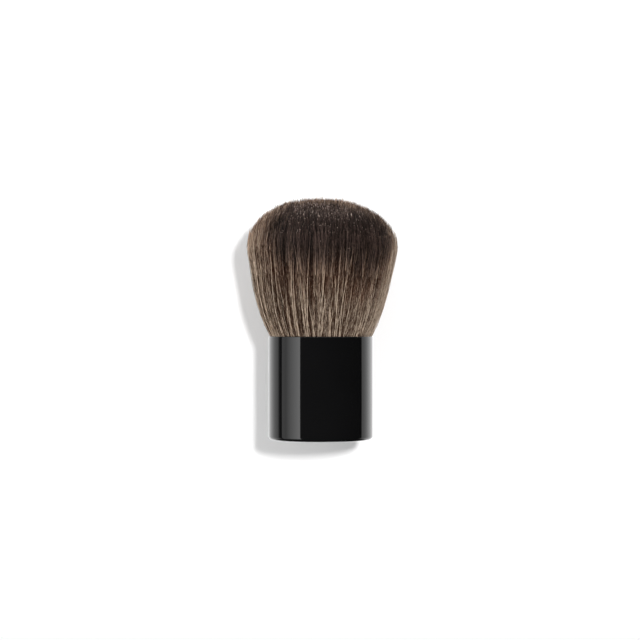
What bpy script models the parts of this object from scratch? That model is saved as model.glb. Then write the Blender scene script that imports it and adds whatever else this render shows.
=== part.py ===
"""Kabuki-style powder brush: a domed hair tuft set in a short drawn handle. Metres, +Z up.

The brush stands on its flat base with its axis on Z. The handle is a deep-drawn cup. Inside it
stand, from the base up, a foam pad, a steel weight, a moulded core and a thin cup that holds the
bound and glued root of the tuft. Every strand of the tuft grows out of a slice of that root.
"""

import math
import random

import bmesh
import bpy
from mathutils import Vector
from mathutils.geometry import delaunay_2d_cdt

# Overall sizes

HANDLE_RADIUS = 0.0165
HANDLE_HEIGHT = 0.03255
HEAD_LENGTH = 0.0435
HEAD_WIDEST_RADIUS = 0.0236

# Heights at which the head's outline bends, as shares of its length above the lip

LOW_HEIGHT_SHARE = 0.142
MIDDLE_HEIGHT_SHARE = 0.366
WIDEST_HEIGHT_SHARE = 0.641
SHOULDER_HEIGHT_SHARE = 0.783

# Middle radius, as a share of the way from the low one to the widest, and shoulder, of the widest

MIDDLE_RADIUS_SHARE = 0.569
SHOULDER_RADIUS_SHARE = 0.929

# Weight and root block, as shares of the height that floors and gaps leave free in the handle.
# The rest is how deep the root of the tuft lies below the lip.

WEIGHT_HEIGHT_SHARE = 0.2930
BLOCK_HEIGHT_SHARE = 0.3516

# Between two pieces that touch on the real brush

SEAT_GAP = 0.0003

# Handle shell

SHELL_WALL = 0.0005
SHELL_FLOOR = 0.0008
BASE_ROUNDING = 0.0012

# Weight and its pad

PAD_RADIUS_SHARE = 0.870
PAD_THICKNESS = 0.0008
WEIGHT_RADIUS_SHARE = 0.719
WEIGHT_CHAMFER = 0.0006

# Core insert

CORE_ROOF = 0.0014
CORE_EDGE_CHAMFER = 0.0009
CORE_TOP_BELOW_LIP = 0.0043
CRUSH_RIB_HEIGHT = 0.0005
CRUSH_RIBS = 12
RIB_END_MARGIN = 0.0020
MOUTH_CLEARANCE = 0.0004
ADHESIVE_HEIGHT = 0.0020
ADHESIVE_THICKNESS = 0.0012
ADHESIVE_ABOVE_CORE_FOOT = 0.0035

# Hair cup and root of the tuft

CUP_WALL = 0.0004
CUP_CORNER = 0.0010
ROOT_RADIUS_SHARE = 0.7195
ROOT_SLICE = 0.0015
BLOCK_LAND_SHARE = 0.111
BLOCK_CHAMFER = 0.0006
THREAD_DIAMETER = 0.0008
THREAD_PITCH = 0.00135
THREAD_POINTS_A_LOOP = 24

# Tuft

CELL_RINGS = 8
CELLS_ADDED_A_RING = 5
RING_TURN_SHARE = 0.382
STRAND_GAP = 0.0003
TIP_LENGTH = 0.0024
TIP_WIDTH_SHARE = 0.72
TIP_UNEVENNESS = 0.0006
TIP_SEED = 5
DOME_FLATNESS_POWER = 2.3
DOME_SHOULDER_POWER = 0.6

# Smoothness of round pieces

SHELL_SIDES = 64
INNER_SIDES = 48
CORNER_STEPS = 5
SMOOTH_DEGREES = 35
WELD = 0.000001

# Colour, metallic value and roughness of each finish

FINISHES = {
    "black_lacquer": ((0.006, 0.006, 0.007, 1.0), 0.0, 0.08),
    "bare_aluminium": ((0.78, 0.79, 0.80, 1.0), 1.0, 0.35),
    "plated_steel": ((0.62, 0.62, 0.60, 1.0), 1.0, 0.30),
    "moulded_plastic": ((0.09, 0.09, 0.10, 1.0), 0.0, 0.50),
    "set_adhesive": ((0.75, 0.66, 0.42, 1.0), 0.0, 0.25),
    "root_resin": ((0.45, 0.30, 0.14, 1.0), 0.0, 0.22),
    "waxed_thread": ((0.80, 0.76, 0.66, 1.0), 0.0, 0.70),
    "foam": ((0.86, 0.86, 0.84, 1.0), 0.0, 0.90),
    "brown_hair": ((0.085, 0.058, 0.045, 1.0), 0.0, 0.45),
}

# Heights, counted up from the base

lip_height = HANDLE_HEIGHT
floors = SHELL_FLOOR + PAD_THICKNESS + CORE_ROOF + CUP_WALL + ROOT_SLICE
free_height = lip_height - floors - 6 * SEAT_GAP
weight_height = WEIGHT_HEIGHT_SHARE * free_height
block_height = BLOCK_HEIGHT_SHARE * free_height
foot_of_core = SHELL_FLOOR + SEAT_GAP
foot_of_weight = foot_of_core + PAD_THICKNESS + SEAT_GAP
top_of_weight = foot_of_weight + weight_height
floor_of_socket = top_of_weight + SEAT_GAP + CORE_ROOF
foot_of_cup = floor_of_socket + SEAT_GAP
foot_of_block = foot_of_cup + CUP_WALL + SEAT_GAP
top_of_block = foot_of_block + block_height
foot_of_slice = top_of_block + SEAT_GAP
root_height = foot_of_slice + ROOT_SLICE
low_height = lip_height + LOW_HEIGHT_SHARE * HEAD_LENGTH
middle_height = lip_height + MIDDLE_HEIGHT_SHARE * HEAD_LENGTH
widest_height = lip_height + WIDEST_HEIGHT_SHARE * HEAD_LENGTH
shoulder_height = lip_height + SHOULDER_HEIGHT_SHARE * HEAD_LENGTH
crown_height = lip_height + HEAD_LENGTH
top_of_core = lip_height - CORE_TOP_BELOW_LIP

# Radii, worked inwards from the handle

shell_bore = HANDLE_RADIUS - SHELL_WALL
hair_at_lip = shell_bore - SEAT_GAP
root_radius = ROOT_RADIUS_SHARE * hair_at_lip
flare = (hair_at_lip - root_radius) / (lip_height - root_height)
cup_bore = root_radius + SEAT_GAP
cup_radius = cup_bore + CUP_WALL
socket_radius = cup_radius + SEAT_GAP
rib_radius = shell_bore - SEAT_GAP
core_radius = rib_radius - CRUSH_RIB_HEIGHT
weight_radius = WEIGHT_RADIUS_SHARE * shell_bore
pad_radius = PAD_RADIUS_SHARE * weight_radius
low_radius = hair_at_lip + flare * (low_height - lip_height)
middle_radius = low_radius + MIDDLE_RADIUS_SHARE * (HEAD_WIDEST_RADIUS - low_radius)
shoulder_radius = SHOULDER_RADIUS_SHARE * HEAD_WIDEST_RADIUS

# Winding, as many loops as the waist of the root block holds

block_land = BLOCK_LAND_SHARE * block_height
groove_height = block_height - 2 * block_land
thread_room = groove_height - 2 * SEAT_GAP - THREAD_DIAMETER
thread_loops = int(thread_room / THREAD_PITCH)


def clear_scene():
    """Removes whatever the scene starts with."""
    for old in list(bpy.data.objects):
        bpy.data.objects.remove(old)


def material(name):
    """The Principled material of a named finish."""
    if name in bpy.data.materials:
        return bpy.data.materials[name]
    colour, metallic, roughness = FINISHES[name]
    made = bpy.data.materials.new(name)
    made.use_nodes = True
    made.diffuse_color = colour
    shader = made.node_tree.nodes["Principled BSDF"]
    shader.inputs["Base Color"].default_value = colour
    shader.inputs["Metallic"].default_value = metallic
    shader.inputs["Roughness"].default_value = roughness
    return made


def add_object(name, data, finish):
    """Links a new object of this name, mesh or curve, and finish."""
    data.materials.append(material(finish))
    made = bpy.data.objects.new(name, data)
    bpy.context.scene.collection.objects.link(made)
    return made


def object_from(name, mesh, finish):
    """Turns a bmesh into a named object whose round faces shade smoothly."""
    data = bpy.data.meshes.new(name)
    mesh.to_mesh(data)
    mesh.free()
    data.shade_smooth()
    data.set_sharp_from_angle(angle=math.radians(SMOOTH_DEGREES))
    return add_object(name, data, finish)


def arc(centre_radius, centre_height, radius, start, end):
    """Points (radius, height) of a rounding, from one angle in degrees to another."""
    points = []
    for step in range(CORNER_STEPS + 1):
        angle = math.radians(start + (end - start) * step / CORNER_STEPS)
        across = centre_radius + radius * math.cos(angle)
        up = centre_height + radius * math.sin(angle)
        points.append((across, up))
    return points


def turned(outline, sides):
    """Turns a closed outline of (radius, height) points about Z. It runs up the outer side."""
    mesh = bmesh.new()
    corners = [mesh.verts.new((across, 0, up)) for across, up in outline]
    on_axis = outline[0][0] == 0 and outline[-1][0] == 0
    ends = corners[1:] if on_axis else corners[1:] + corners[:1]
    edges = [mesh.edges.new(pair) for pair in zip(corners, ends)]
    bmesh.ops.spin(
        mesh, geom=corners + edges, axis=(0, 0, 1), cent=(0, 0, 0), angle=math.tau,
        steps=sides, use_merge=True, use_duplicate=False,
    )
    bmesh.ops.remove_doubles(mesh, verts=mesh.verts, dist=WELD)
    bmesh.ops.recalc_face_normals(mesh, faces=mesh.faces)
    return mesh


def handle_shell():
    """Drawn cup with a rounded foot and a rolled lip."""
    foot = HANDLE_RADIUS - BASE_ROUNDING
    inner_rounding = BASE_ROUNDING - SHELL_WALL
    lip = SHELL_WALL / 2
    outline = [(0, 0)]
    outline += arc(foot, BASE_ROUNDING, BASE_ROUNDING, -90, 0)
    outline += arc(HANDLE_RADIUS - lip, lip_height - lip, lip, 0, 180)
    inner_foot = shell_bore - inner_rounding
    outline += arc(inner_foot, SHELL_FLOOR + inner_rounding, inner_rounding, 0, -90)
    outline += [(0, SHELL_FLOOR)]
    return object_from("handle_shell", turned(outline, SHELL_SIDES), "black_lacquer")


def weight_pad():
    """Foam disc with adhesive on both faces, between the shell's floor and the weight."""
    outline = [
        (0, 0),
        (pad_radius, 0),
        (pad_radius, PAD_THICKNESS),
        (0, PAD_THICKNESS),
    ]
    made = object_from("weight_pad", turned(outline, INNER_SIDES), "foam")
    made.location.z = foot_of_core
    return made


def weight_slug():
    """Steel slug with both edges chamfered."""
    outline = [
        (0, 0),
        (weight_radius, 0),
        (weight_radius, weight_height),
        (0, weight_height),
    ]
    made = object_from("weight_slug", turned(outline, INNER_SIDES), "plated_steel")
    made.location.z = foot_of_weight
    chamfer = made.modifiers.new("edge_chamfer", "BEVEL")
    chamfer.width = WEIGHT_CHAMFER
    chamfer.segments = 1
    chamfer.limit_method = "ANGLE"
    return made


def adhesive_band():
    """Lowest and highest point of the adhesive groove."""
    low = foot_of_core + ADHESIVE_ABOVE_CORE_FOOT
    return low, low + ADHESIVE_HEIGHT + 2 * SEAT_GAP


def core_insert():
    """Moulded plug: weight pocket below, cup socket with a flared mouth above, crush ribs outside."""
    pocket_radius = weight_radius + SEAT_GAP
    pocket_roof = top_of_weight + SEAT_GAP
    groove_low, groove_top = adhesive_band()
    groove_radius = rib_radius - ADHESIVE_THICKNESS - SEAT_GAP
    mouth_radius = hair_radius(top_of_core) + MOUTH_CLEARANCE
    outline = [
        (pocket_radius, foot_of_core),
        (core_radius - CORE_EDGE_CHAMFER, foot_of_core),
        (core_radius, foot_of_core + CORE_EDGE_CHAMFER),
        (core_radius, groove_low),
        (groove_radius, groove_low),
        (groove_radius, groove_top),
        (core_radius, groove_top),
        (core_radius, groove_top + RIB_END_MARGIN),
        (core_radius, top_of_core - RIB_END_MARGIN),
        (core_radius, top_of_core),
        (mouth_radius, top_of_core),
        (socket_radius, root_height),
        (socket_radius, floor_of_socket),
        (0, floor_of_socket),
    ]
    mesh = turned([(0, pocket_roof), (pocket_radius, pocket_roof)] + outline, INNER_SIDES)
    raise_crush_ribs(mesh, groove_top + RIB_END_MARGIN, top_of_core - RIB_END_MARGIN)
    return object_from("core_insert", mesh, "moulded_plastic")


def raise_crush_ribs(mesh, low, high):
    """Pulls every fourth corner of the outer wall out into a rib of triangular section."""
    for vert in mesh.verts:
        across = vert.co.xy.length
        turn = math.atan2(vert.co.y, vert.co.x) / math.tau * CRUSH_RIBS
        on_wall = abs(across - core_radius) < WELD and low - WELD < vert.co.z < high + WELD
        if on_wall and abs(turn - round(turn)) < 1 / INNER_SIDES:
            vert.co.xy *= rib_radius / across


def shell_adhesive():
    """Ring of set adhesive in the groove of the core insert."""
    low = adhesive_band()[0] + SEAT_GAP
    inner = rib_radius - ADHESIVE_THICKNESS
    outline = [
        (inner, low),
        (rib_radius, low),
        (rib_radius, low + ADHESIVE_HEIGHT),
        (inner, low + ADHESIVE_HEIGHT),
    ]
    return object_from("shell_adhesive", turned(outline, INNER_SIDES), "set_adhesive")


def hair_cup():
    """Thin cup round the root of the tuft."""
    inner_corner = CUP_CORNER - CUP_WALL
    outline = [(0, foot_of_cup)]
    outline += arc(cup_radius - CUP_CORNER, foot_of_cup + CUP_CORNER, CUP_CORNER, -90, 0)
    outline += [(cup_radius, root_height), (cup_bore, root_height)]
    outline += arc(cup_bore - inner_corner, foot_of_cup + CUP_CORNER, inner_corner, 0, -90)
    outline += [(0, foot_of_cup + CUP_WALL)]
    return object_from("hair_cup", turned(outline, INNER_SIDES), "bare_aluminium")


def groove_in_block():
    """Radius of the waist, and the heights that it lies between."""
    low = foot_of_block + block_land
    return root_radius - THREAD_DIAMETER - SEAT_GAP, low, low + groove_height


def root_block():
    """Hair ends set in resin, with a waist for the binding thread."""
    waist, low, high = groove_in_block()
    outline = [
        (0, foot_of_block),
        (root_radius - BLOCK_CHAMFER, foot_of_block),
        (root_radius, foot_of_block + BLOCK_CHAMFER),
        (root_radius, low),
        (waist, low),
        (waist, high),
        (root_radius, high),
        (root_radius, top_of_block),
        (0, top_of_block),
    ]
    return object_from("root_block", turned(outline, INNER_SIDES), "root_resin")


def thread_route():
    """Points of the winding: a helix with a short straight run at each end."""
    waist, low, high = groove_in_block()
    radius = waist + SEAT_GAP + THREAD_DIAMETER / 2
    start = (low + high - thread_loops * THREAD_PITCH) / 2
    count = thread_loops * THREAD_POINTS_A_LOOP
    route = []
    for step in range(count + 1):
        angle = math.tau * step / THREAD_POINTS_A_LOOP
        up = start + THREAD_PITCH * step / THREAD_POINTS_A_LOOP
        route.append(Vector((radius * math.cos(angle), radius * math.sin(angle), up)))
    first = route[0] + Vector((0, -THREAD_DIAMETER, 0))
    last = route[-1] + Vector((0, THREAD_DIAMETER, 0))
    return [first, *route, last]


def least_gap(route):
    """Least distance from the skin of one loop to the next, measured on the points."""
    apart = []
    for index, point in enumerate(route):
        for other in route[index + THREAD_POINTS_A_LOOP // 2:]:
            apart.append((point - other).length)
    return min(apart) - THREAD_DIAMETER


def binding_thread():
    """One unbroken thread, wound round the waist of the root block."""
    route = thread_route()
    print(f"binding_thread: least gap to itself {1000 * least_gap(route):.2f} mm")
    data = bpy.data.curves.new("binding_thread", "CURVE")
    data.dimensions = "3D"
    data.bevel_depth = THREAD_DIAMETER / 2
    data.bevel_resolution = 1
    data.use_fill_caps = True
    spline = data.splines.new("POLY")
    spline.points.add(len(route) - 1)
    for point, place in zip(spline.points, route):
        point.co = (*place, 1)
    return add_object("binding_thread", data, "waxed_thread")


def hair_radius(height):
    """Outer radius of the tuft between its root and the foot of its flank."""
    return root_radius + flare * (height - root_height)


def tip_height(share):
    """Height of a strand's tip. share is 0 on the axis and 1 at the outermost strands."""
    rise = (1 - min(share, 1) ** DOME_FLATNESS_POWER) ** DOME_SHOULDER_POWER
    return shoulder_height + (crown_height - shoulder_height) * rise


def dome_radius(height):
    """Outer radius of the tuft above its widest point, where it leans in towards the shoulder."""
    lean = (HEAD_WIDEST_RADIUS - shoulder_radius) / (shoulder_height - widest_height)
    return HEAD_WIDEST_RADIUS - lean * (height - widest_height)


def root_cells():
    """Corner points and triangles of the cells that the strands grow from."""
    points = [Vector((0, 0))]
    for ring in range(1, CELL_RINGS + 1):
        count = CELLS_ADDED_A_RING * ring
        turn = math.tau * RING_TURN_SHARE * (CELL_RINGS - ring)
        for step in range(count):
            angle = turn + math.tau * step / count
            radius = root_radius * ring / CELL_RINGS
            points.append(Vector((radius * math.cos(angle), radius * math.sin(angle))))
    places, _, cells, *_ = delaunay_2d_cdt(points, [], [], 0, WELD)
    return places, cells


def grow(mesh, faces):
    """Extrudes each face by itself and gives the faces at its far end."""
    return bmesh.ops.extrude_discrete_faces(mesh, faces=faces)["faces"]


def spread(faces, factor, height):
    """Moves faces to a height and spreads them about the axis."""
    for face in faces:
        for vert in face.verts:
            vert.co = Vector((vert.co.x * factor, vert.co.y * factor, height))


def narrow(face, factor, height, share):
    """Moves one strand's face to a height, and draws its corners in to a share of their spread."""
    middle = face.calc_center_median() * factor
    for vert in face.verts:
        place = middle.lerp(vert.co * factor, share)
        vert.co = Vector((place.x, place.y, height))


def bristles():
    """Strands of three sides, each grown out of its own cell of the root slice."""
    mesh = bmesh.new()
    places, cells = root_cells()
    verts = [mesh.verts.new((place.x, place.y, root_height)) for place in places]
    roots = [mesh.faces.new([verts[index] for index in cell]) for cell in cells]
    rim = [edge for edge in mesh.edges if edge.is_boundary]
    wall = bmesh.ops.extrude_edge_only(mesh, edges=rim)["geom"]
    low = [item for item in wall if isinstance(item, bmesh.types.BMVert)]
    for vert in low:
        vert.co.z = foot_of_slice
    foot = [item for item in wall if isinstance(item, bmesh.types.BMEdge) and item.is_boundary]
    bmesh.ops.contextual_create(mesh, geom=foot)
    bmesh.ops.inset_individual(mesh, faces=roots, thickness=STRAND_GAP / 2)
    reach = max(vert.co.xy.length for face in roots for vert in face.verts)
    grow_strands(mesh, roots, reach)
    bmesh.ops.recalc_face_normals(mesh, faces=mesh.faces)
    return object_from("bristles", mesh, "brown_hair")


def grow_strands(mesh, roots, reach):
    """Grows every strand from its root. Those of the outermost ring follow the flank's curve."""
    chance = random.Random(TIP_SEED)
    inner_ring = root_radius * (CELL_RINGS - 1) / CELL_RINGS
    outer = [face for face in roots if face.calc_center_median().xy.length > inner_ring]
    inner = [face for face in roots if face.calc_center_median().xy.length <= inner_ring]
    low = grow(mesh, outer)
    spread(low, low_radius / reach, low_height)
    middle = grow(mesh, low)
    spread(middle, middle_radius / low_radius, middle_height)
    widest_outer = grow(mesh, middle)
    spread(widest_outer, HEAD_WIDEST_RADIUS / middle_radius, widest_height)
    widest_inner = grow(mesh, inner)
    spread(widest_inner, HEAD_WIDEST_RADIUS / reach, widest_height)
    for face in grow(mesh, widest_outer + widest_inner):
        share = face.calc_center_median().xy.length / HEAD_WIDEST_RADIUS
        tip = tip_height(share) - chance.random() * TIP_UNEVENNESS
        neck = tip - TIP_LENGTH
        narrow(face, dome_radius(neck) / HEAD_WIDEST_RADIUS, neck, TIP_WIDTH_SHARE)
        apex = bmesh.ops.poke(mesh, faces=[face])["verts"][0]
        onward = dome_radius(tip) / dome_radius(neck)
        apex.co = Vector((apex.co.x * onward, apex.co.y * onward, tip))


def main():
    clear_scene()
    handle_shell()
    weight_pad()
    weight_slug()
    core_insert()
    shell_adhesive()
    hair_cup()
    root_block()
    binding_thread()
    bristles()


main()
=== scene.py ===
"""Looks of a short powder brush: a round glossy black handle under a full, domed hair tuft.

The photograph was taken from straight above, with the brush lying on a white surface. The frame
stands the brush up, so that surface is a pale plane close behind it here, and the camera looks
level at it. Lengths are in metres. Angles are in degrees, but the trees of nodes take radians.
"""

import logging
import math
from dataclasses import dataclass, field, fields, replace
from enum import Enum
from functools import reduce
from typing import Any, Dict, List, NamedTuple, Optional, Sequence, Tuple, Union

import bmesh
import bpy
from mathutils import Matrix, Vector

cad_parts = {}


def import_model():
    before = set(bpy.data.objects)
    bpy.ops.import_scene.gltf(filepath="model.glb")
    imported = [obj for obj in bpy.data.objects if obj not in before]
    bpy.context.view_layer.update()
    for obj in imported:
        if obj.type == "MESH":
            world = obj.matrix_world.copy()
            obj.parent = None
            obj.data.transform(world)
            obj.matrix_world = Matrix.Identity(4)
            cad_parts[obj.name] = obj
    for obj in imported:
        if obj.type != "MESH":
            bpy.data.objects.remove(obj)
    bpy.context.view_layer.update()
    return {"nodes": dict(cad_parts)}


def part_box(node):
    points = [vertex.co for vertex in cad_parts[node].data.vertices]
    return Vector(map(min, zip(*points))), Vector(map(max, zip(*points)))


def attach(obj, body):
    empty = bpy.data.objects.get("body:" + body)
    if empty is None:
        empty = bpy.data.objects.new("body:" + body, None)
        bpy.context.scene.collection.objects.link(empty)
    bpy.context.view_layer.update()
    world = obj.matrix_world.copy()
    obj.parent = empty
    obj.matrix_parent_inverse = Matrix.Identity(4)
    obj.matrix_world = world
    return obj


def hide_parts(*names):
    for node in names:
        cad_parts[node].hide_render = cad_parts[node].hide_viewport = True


LOG = logging.getLogger("powder_brush")

Colour = Tuple[float, float, float, float]
Triple = Tuple[float, float, float]
Point = Tuple[float, float]
Socket = bpy.types.NodeSocket
Node = bpy.types.Node
Tree = bpy.types.NodeTree
Material = bpy.types.Material
Mesh = bpy.types.Mesh
Object = bpy.types.Object
Feed = Union[float, int, bool, str, Sequence[float], Socket, Material]

MM = 0.001
BODY = "root"
HAIR_MAP = "OFBake"
WHITE: Colour = (1.0, 1.0, 1.0, 1.0)
LEVEL_ONLY: Triple = (1.0, 1.0, 0.0)
MIDDLE = 0.5
WELD = 0.001 * MM
SHARP_DEGREES = 30


class Ramp(NamedTuple):
    """Range of a value, the results at its two ends, and whether it eases in and out."""

    start: float
    end: float
    low: float = 0.0
    high: float = 1.0
    smooth: bool = True


def label(name: str) -> str:
    """Gives the socket name of a dataclass field."""
    return name.replace("_", " ").title()


def inputs_of(values: Any) -> Dict[str, Any]:
    """Gives the fields of a dataclass instance by their socket names."""
    return {label(item.name): getattr(values, item.name) for item in fields(values)}


class Wiring:
    """Places nodes in one tree and joins their sockets."""

    def __init__(self, tree: Tree) -> None:
        """Keeps the tree that the nodes go into."""
        self.tree = tree

    def feed(self, socket: Socket, value: Feed) -> None:
        """Links a socket, or sets its own value.

        Args:
            socket: input to fill.
            value: an output socket to link, or a plain value.
        """
        if isinstance(value, Socket):
            self.tree.links.new(value, socket)
        else:
            socket.default_value = value

    def place(self, kind: str, inputs: Optional[Dict[Any, Feed]] = None, **settings: Any) -> Node:
        """Adds a node.

        Args:
            kind: Blender's name of the node type.
            inputs: values or links, by socket name or number.
            settings: properties of the node itself.

        Returns:
            The new node.
        """
        node = self.tree.nodes.new(kind)
        for name, value in settings.items():
            setattr(node, name, value)
        for key, value in (inputs or {}).items():
            self.feed(node.inputs[key], value)
        return node

    def first(self, kind: str, inputs: Optional[Dict[Any, Feed]] = None, **settings: Any) -> Socket:
        """Adds a node and gives its first output."""
        return self.place(kind, inputs, **settings).outputs[0]

    def math(self, operation: str, *values: Feed) -> Socket:
        """Adds a Math node of one to three values."""
        return self.first("ShaderNodeMath", dict(enumerate(values)), operation=operation)

    def product(self, *values: Feed) -> Socket:
        """Multiplies numbers from left to right."""
        return reduce(lambda one, other: self.math("MULTIPLY", one, other), values)

    def total(self, *values: Feed) -> Socket:
        """Adds numbers from left to right."""
        return reduce(lambda one, other: self.math("ADD", one, other), values)

    def less(self, value: Feed, taken: Feed) -> Socket:
        """Takes one number from another."""
        return self.math("SUBTRACT", value, taken)

    def scale_add(self, value: Feed, factor: Feed, added: Feed) -> Socket:
        """Multiplies a number by a factor and adds another."""
        return self.math("MULTIPLY_ADD", value, factor, added)

    def vector(self, operation: str, *values: Feed) -> Socket:
        """Adds a Vector Math node with a vector result."""
        return self.first("ShaderNodeVectorMath", dict(enumerate(values)), operation=operation)

    def scaled(self, value: Feed, factor: Feed) -> Socket:
        """Multiplies a vector by a number."""
        return self.first("ShaderNodeVectorMath", {0: value, "Scale": factor}, operation="SCALE")

    def length(self, value: Feed) -> Socket:
        """Measures a vector."""
        return self.place("ShaderNodeVectorMath", {0: value}, operation="LENGTH").outputs[1]

    def combine(self, x: Feed, y: Feed, z: Feed = 0.0) -> Socket:
        """Joins numbers into a vector."""
        return self.first("ShaderNodeCombineXYZ", {0: x, 1: y, 2: z})

    def separate(self, value: Feed) -> List[Socket]:
        """Splits a vector, or a colour, into its three numbers."""
        return list(self.place("ShaderNodeSeparateXYZ", {0: value}).outputs)

    def ramp(self, value: Feed, start: Feed, end: Feed, low: Feed = 0.0, high: Feed = 1.0,
             smooth: bool = True) -> Socket:
        """Maps a number from one range to another, held at both ends.

        Args:
            value: number to map.
            start: where the range begins.
            end: where the range ends.
            low: result at the start.
            high: result at the end.
            smooth: whether it eases in and out.

        Returns:
            The mapped number.
        """
        kind = "SMOOTHSTEP" if smooth else "LINEAR"
        inputs = {"Value": value, 1: start, 2: end, 3: low, 4: high}
        return self.first("ShaderNodeMapRange", inputs, interpolation_type=kind, clamp=True)

    def turned_ramp(self, value: Feed, ends: Ramp) -> Socket:
        """Maps an angle, by a ramp whose ends are in degrees."""
        start, end = math.radians(ends.start), math.radians(ends.end)
        return self.ramp(value, start, end, ends.low, ends.high, ends.smooth)

    def blend(self, share: Feed, first: Feed, second: Feed) -> Socket:
        """Mixes two colours, all of the first at a share of 0."""
        inputs = {0: share, 6: first, 7: second}
        return self.place("ShaderNodeMix", inputs, data_type="RGBA").outputs[2]

    def choose(self, share: Feed, first: Feed, second: Feed) -> Socket:
        """Mixes two numbers, all of the first at a share of 0."""
        return self.first("ShaderNodeMix", {0: share, 2: first, 3: second}, data_type="FLOAT")

    def on_object(self) -> Socket:
        """Gives the place on the object."""
        return self.place("ShaderNodeTexCoord").outputs["Object"]

    def stretched(self, where: Feed, scale: Triple) -> Socket:
        """Scales coordinates along each axis."""
        return self.first("ShaderNodeMapping", {"Vector": where, "Scale": scale})

    def noise(self, where: Feed, scale: Feed, detail: float) -> Socket:
        """Adds a noise texture of some finer layers, about 0.5 on average."""
        inputs = {"Vector": where, "Scale": scale, "Detail": detail}
        return self.first("ShaderNodeTexNoise", inputs, noise_dimensions="3D")

    def bump(self, shader: Node, strength: float, distance: float, height: Feed) -> None:
        """Makes a shader's surface uneven."""
        inputs = {"Strength": strength, "Distance": distance, "Height": height}
        self.feed(shader.inputs["Normal"], self.first("ShaderNodeBump", inputs))


def new_group(name: str, inputs: Dict[str, Union[float, Colour]],
              outputs: Sequence[str]) -> Tuple[Wiring, Any, Any]:
    """Makes a shader node group with its sockets.

    Args:
        name: name of the group.
        inputs: default value of each input; a tuple makes a colour socket.
        outputs: name of each output; one that ends in Color is a colour.

    Returns:
        The wiring of its tree, the sockets that it is given and the sockets that it fills.
    """
    tree = bpy.data.node_groups.new(name, "ShaderNodeTree")
    for title, default in inputs.items():
        kind = "NodeSocketColor" if isinstance(default, tuple) else "NodeSocketFloat"
        socket = tree.interface.new_socket(title, in_out="INPUT", socket_type=kind)
        socket.default_value = default
    for title in outputs:
        kind = "NodeSocketColor" if title.endswith("Color") else "NodeSocketFloat"
        tree.interface.new_socket(title, in_out="OUTPUT", socket_type=kind)
    given = tree.nodes.new("NodeGroupInput").outputs
    return Wiring(tree), given, tree.nodes.new("NodeGroupOutput").inputs


def new_material(name: str) -> Tuple[Material, Wiring, Node]:
    """Makes a material with its Principled shader.

    Args:
        name: name of the material.

    Returns:
        The material, the wiring of its tree and the shader.
    """
    made = bpy.data.materials.new(name)
    made.use_nodes = True
    tree = made.node_tree
    return made, Wiring(tree), tree.nodes["Principled BSDF"]


@dataclass(frozen=True)
class StrandColours:
    """Colours of hair. Its shaft and its tip run from dark to light by the hair's own tone. The end
    colour lights the cut ends of the palest hairs: painted back-light and glint on those ends.
    """

    dark_shaft: Colour
    light_shaft: Colour
    dark_tip: Colour
    light_tip: Colour
    end: Colour
    warmth: Colour = WHITE


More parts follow.
